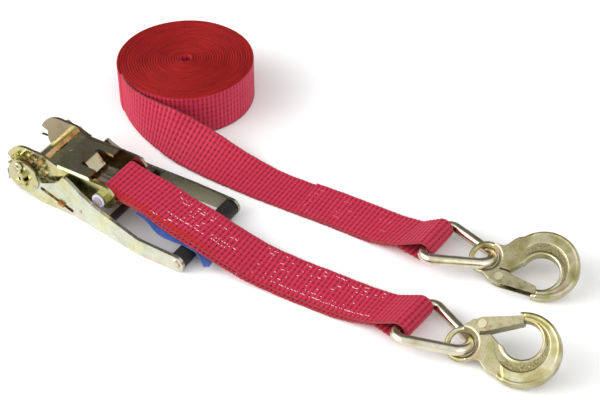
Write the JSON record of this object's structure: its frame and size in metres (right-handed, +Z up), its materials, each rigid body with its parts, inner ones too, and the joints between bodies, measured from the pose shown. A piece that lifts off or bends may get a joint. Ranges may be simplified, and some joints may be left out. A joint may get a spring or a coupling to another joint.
{
  "type": "ratchet tie down",
  "caption": "Ratchet tie down with wide handle: buckle, rolled long strap and short strap, each ending in a delta ring and a snap hook.",
  "frame": {"origin": "centre of the footprint on the ground, with the buckle lying closed on its handle", "axes": "+X along the buckle from the mandrel to the grip and on to the hooks, +Z up"},
  "size_m": [0.5999, 0.319, 0.0565],
  "materials": {
    "zinc_steel": "stamped steel, yellow zinc chromate",
    "forged_zinc": "forged and bent steel, yellow zinc chromate",
    "pawl_steel": "stamped steel, brown-yellow chromate",
    "bolt_steel": "zinc plated",
    "dark_steel": "black coated bar",
    "spring_steel": "bright spring wire",
    "webbing": "ribbed woven polyester",
    "label": "woven label cloth",
    "nylon": "nylon insert",
    "grip_plastic": "ribbed sleeve"
  },
  "bodies": {
    "frame": {"ratchet_frame": "zinc_steel", "strap_bolt": "bolt_steel", "lock_nut": "zinc_steel", "nylon_ring": "nylon", "lock_spring": "spring_steel", "spring_rivet": "zinc_steel", "short_strap": "webbing", "sewn_label": "label"},
    "mandrel": {"mandrel_half_upper": "zinc_steel", "mandrel_half_lower": "zinc_steel", "ratchet_wheel_near": "zinc_steel", "ratchet_wheel_far": "zinc_steel", "mandrel_washer_near": "zinc_steel", "mandrel_washer_far": "zinc_steel", "split_pin_near": "zinc_steel", "split_pin_far": "zinc_steel"},
    "lock_pawl": {"lock_pawl": "pawl_steel"},
    "handle": {"handle_arm_near": "zinc_steel", "handle_arm_far": "zinc_steel", "grip_sleeve": "grip_plastic", "grip_rod": "zinc_steel", "spring_anchor_near": "zinc_steel", "spring_anchor_far": "zinc_steel", "drive_spring_near": "spring_steel", "drive_spring_far": "spring_steel"},
    "drive_pawl": {"drive_pawl": "pawl_steel", "release_bar": "dark_steel"},
    "long_strap": {"long_strap_tail": "webbing", "strap_roll": "webbing"},
    "short_ring": {"delta_ring_short": "forged_zinc"},
    "short_hook": {"hook_short": "forged_zinc", "latch_rivet_short": "forged_zinc", "latch_spring_short": "spring_steel"},
    "short_latch": {"latch_short": "forged_zinc"},
    "long_ring": {"delta_ring_long": "forged_zinc"},
    "long_hook": {"hook_long": "forged_zinc", "latch_rivet_long": "forged_zinc", "latch_spring_long": "spring_steel"},
    "long_latch": {"latch_long": "forged_zinc"}
  },
  "joints": [
    {"name": "mandrel_spin", "type": "hinge", "parent": "frame", "child": "mandrel", "pos_m": [-0.267, -0.10735, 0.0275], "axis": [0, 1, 0], "continuous": true},
    {"name": "handle_swing", "type": "hinge", "parent": "frame", "child": "handle", "pos_m": [-0.267, -0.10735, 0.0275], "axis": [0, 1, 0], "range_deg": [0, 170]},
    {"name": "drive_pawl_slide", "type": "slide", "parent": "handle", "child": "drive_pawl", "axis": [0.9397, 0, -0.342], "range_m": [-0.0089, 0.0025], "stiffness_N_per_m": 1500, "deforming": ["drive_spring_near", "drive_spring_far"]},
    {"name": "lock_pawl_slide", "type": "slide", "parent": "frame", "child": "lock_pawl", "axis": [0.6756, 0, 0.7373], "range_m": [-0.0036, 0.0022], "stiffness_N_per_m": 600},
    {"name": "long_strap_lift", "type": "slide", "parent": "frame", "child": "long_strap", "axis": [0, 0, 1], "range_m": [0, 0.25]},
    {"name": "short_ring_swing", "type": "hinge", "parent": "frame", "child": "short_ring", "pos_m": [0.1565, -0.10935, 0.0136], "axis": [0.0895, 0.9836, -0.1564], "range_deg": [-110, 45]},
    {"name": "short_hook_turn", "type": "hinge", "parent": "short_ring", "child": "short_hook", "pos_m": [0.21247, -0.11444, 0.0136], "axis": [0.9959, -0.0906, 0], "range_deg": [0, 80]},
    {"name": "short_latch_open", "type": "hinge", "parent": "short_hook", "child": "short_latch", "pos_m": [0.22288, -0.09483, 0.02566], "axis": [0.046, 0.5054, -0.8616], "range_deg": [0, 18], "stiffness_Nm_per_rad": 0.03, "springref_deg": -34.38},
    {"name": "long_ring_swing", "type": "hinge", "parent": "long_strap", "child": "long_ring", "pos_m": [0.1265, -0.00555, 0.0158], "axis": [-0.0586, 0.9859, -0.1564], "range_deg": [-110, 45]},
    {"name": "long_hook_turn", "type": "hinge", "parent": "long_ring", "child": "long_hook", "pos_m": [0.1826, -0.00222, 0.0158], "axis": [0.9982, 0.0593, 0], "range_deg": [0, 80]},
    {"name": "long_latch_open", "type": "hinge", "parent": "long_hook", "child": "long_latch", "pos_m": [0.2031, -0.01526, 0.00886], "axis": [0.026, -0.4376, 0.8988], "range_deg": [0, 18], "stiffness_Nm_per_rad": 0.03, "springref_deg": -34.38}
  ]
}
